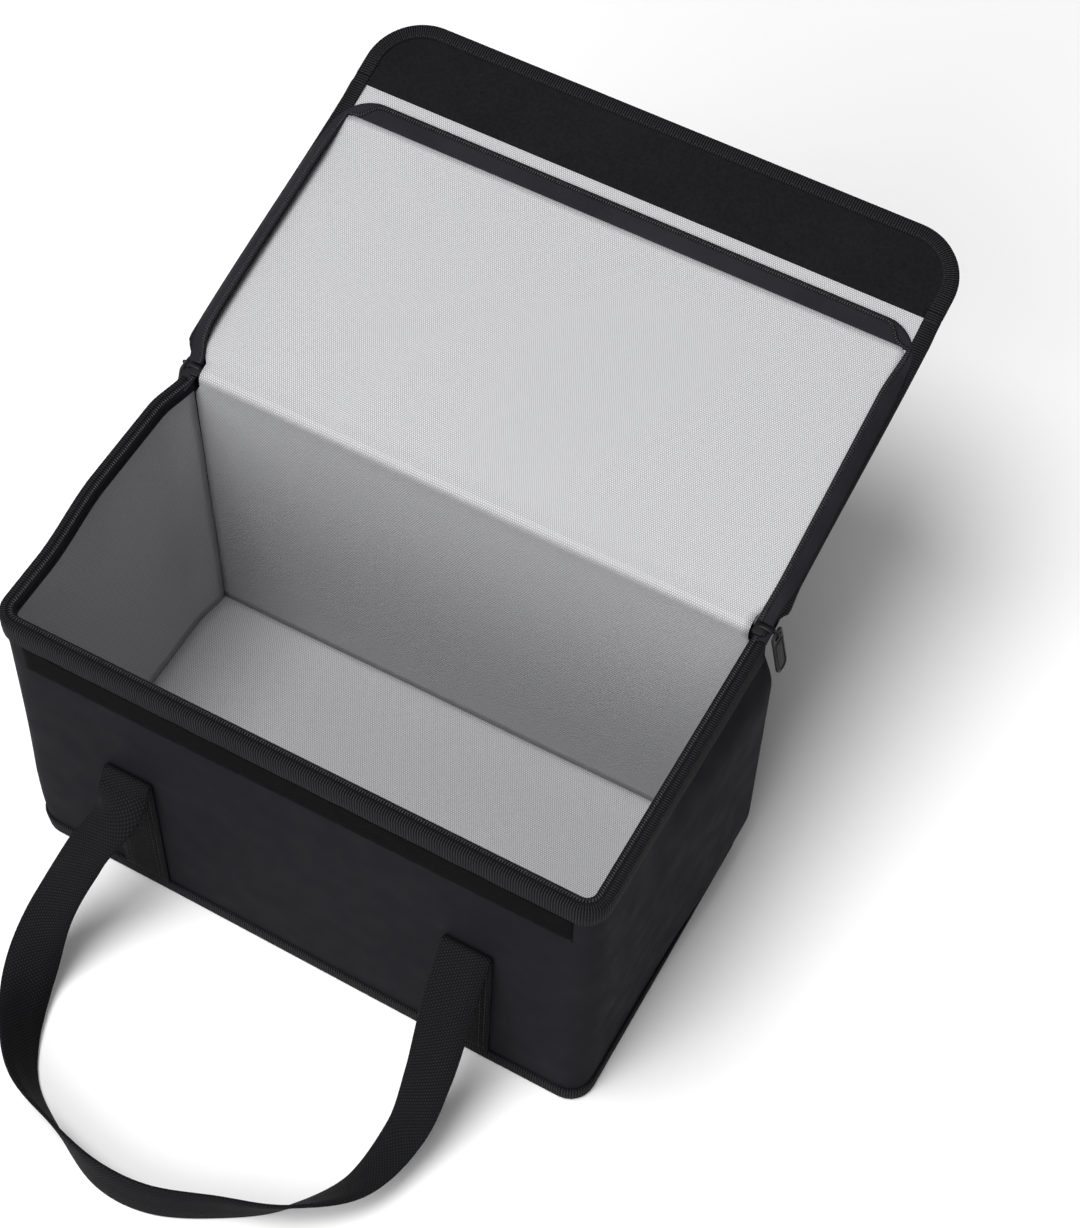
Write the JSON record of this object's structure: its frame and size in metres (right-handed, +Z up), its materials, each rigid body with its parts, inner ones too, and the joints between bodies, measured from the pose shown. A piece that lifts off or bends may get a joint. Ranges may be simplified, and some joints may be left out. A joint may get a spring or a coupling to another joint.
{
  "type": "lipo safe bag",
  "caption": "Padded rectangular battery bag with a grey coated lining, an open zip-round lid with a hook-and-loop flap, and two webbing handles.",
  "frame": {"origin": "centre of the flat base, on the floor", "axes": "+X along the front to the right, +Y from the front to the hinged back, +Z up"},
  "size_m": [0.3814, 0.6042, 0.2937],
  "materials": {
    "outer_fabric": "matte black coated woven fabric",
    "padding": "off-white insulating felt",
    "lining": "silver-grey coated glass-fibre cloth with a fine dotted weave",
    "binding": "ribbed black binding tape",
    "zipper_tape": "black woven zipper tape",
    "zipper_teeth": "black coil teeth",
    "touch_fastener": "black hook-and-loop tape",
    "webbing": "black ribbed webbing",
    "slider": "black painted metal",
    "pull": "dark painted metal"
  },
  "bodies": {
    "bag": {"outer_base": "outer_fabric", "base_padding": "padding", "base_lining": "lining", "base_binding": "binding", "outer_wall": "outer_fabric", "outer_back": "outer_fabric", "front_padding": "padding", "left_padding": "padding", "right_padding": "padding", "back_padding": "padding", "wall_lining": "lining", "back_lining": "lining", "rim_zipper_tape": "zipper_tape", "rim_zipper_teeth": "zipper_teeth", "rim_binding": "binding", "hinge_strip": "outer_fabric", "front_loop_strip": "touch_fastener", "front_left_anchor": "webbing", "front_right_anchor": "webbing", "back_left_anchor": "webbing", "back_right_anchor": "webbing"},
    "lid": {"lid_outer": "outer_fabric", "lid_padding": "padding", "lid_lining": "lining", "lid_zipper_tape": "zipper_tape", "lid_zipper_teeth": "zipper_teeth", "lid_front_web": "outer_fabric", "lid_side_bindings": "binding"},
    "flap": {"flap_outer": "outer_fabric", "flap_lining": "lining", "flap_hook_panel": "touch_fastener", "flap_binding": "binding"},
    "right_slider": {"right_slider": "slider"},
    "left_slider": {"left_slider": "slider"},
    "right_pull": {"right_pull": "pull"},
    "left_pull": {"left_pull": "pull"},
    "front_handle": {"front_handle": "webbing"},
    "back_handle": {"back_handle": "webbing"}
  },
  "joints": [
    {"name": "lid_hinge", "type": "hinge", "parent": "bag", "child": "lid", "pos_m": [0, 0.096, 0.2274], "axis": [1, 0, 0], "range_deg": [-35, 164.5]},
    {"name": "flap_fold", "type": "hinge", "parent": "lid", "child": "flap", "pos_m": [0, 0.28535, 0.27991], "axis": [1, 0, 0], "range_deg": [-30, 90]},
    {"name": "front_handle_swing", "type": "hinge", "parent": "bag", "child": "front_handle", "pos_m": [0, -0.0995, 0.12], "axis": [-1, 0, 0], "range_deg": [0, 125]},
    {"name": "back_handle_swing", "type": "hinge", "parent": "bag", "child": "back_handle", "pos_m": [0, 0.0995, 0.12], "axis": [1, 0, 0], "range_deg": [0, 67]},
    {"name": "right_slider_slide", "type": "slide", "parent": "bag", "child": "right_slider", "axis": [0, -1, 0], "range_m": [0, 0.14]},
    {"name": "left_slider_slide", "type": "slide", "parent": "bag", "child": "left_slider", "axis": [0, -1, 0], "range_m": [0, 0.14]},
    {"name": "right_pull_swing", "type": "hinge", "parent": "right_slider", "child": "right_pull", "pos_m": [0.1837, 0.096, 0.224], "axis": [0, -1, 0], "range_deg": [0, 75]},
    {"name": "left_pull_swing", "type": "hinge", "parent": "left_slider", "child": "left_pull", "pos_m": [-0.1837, 0.096, 0.224], "axis": [0, 1, 0], "range_deg": [0, 75]}
  ]
}
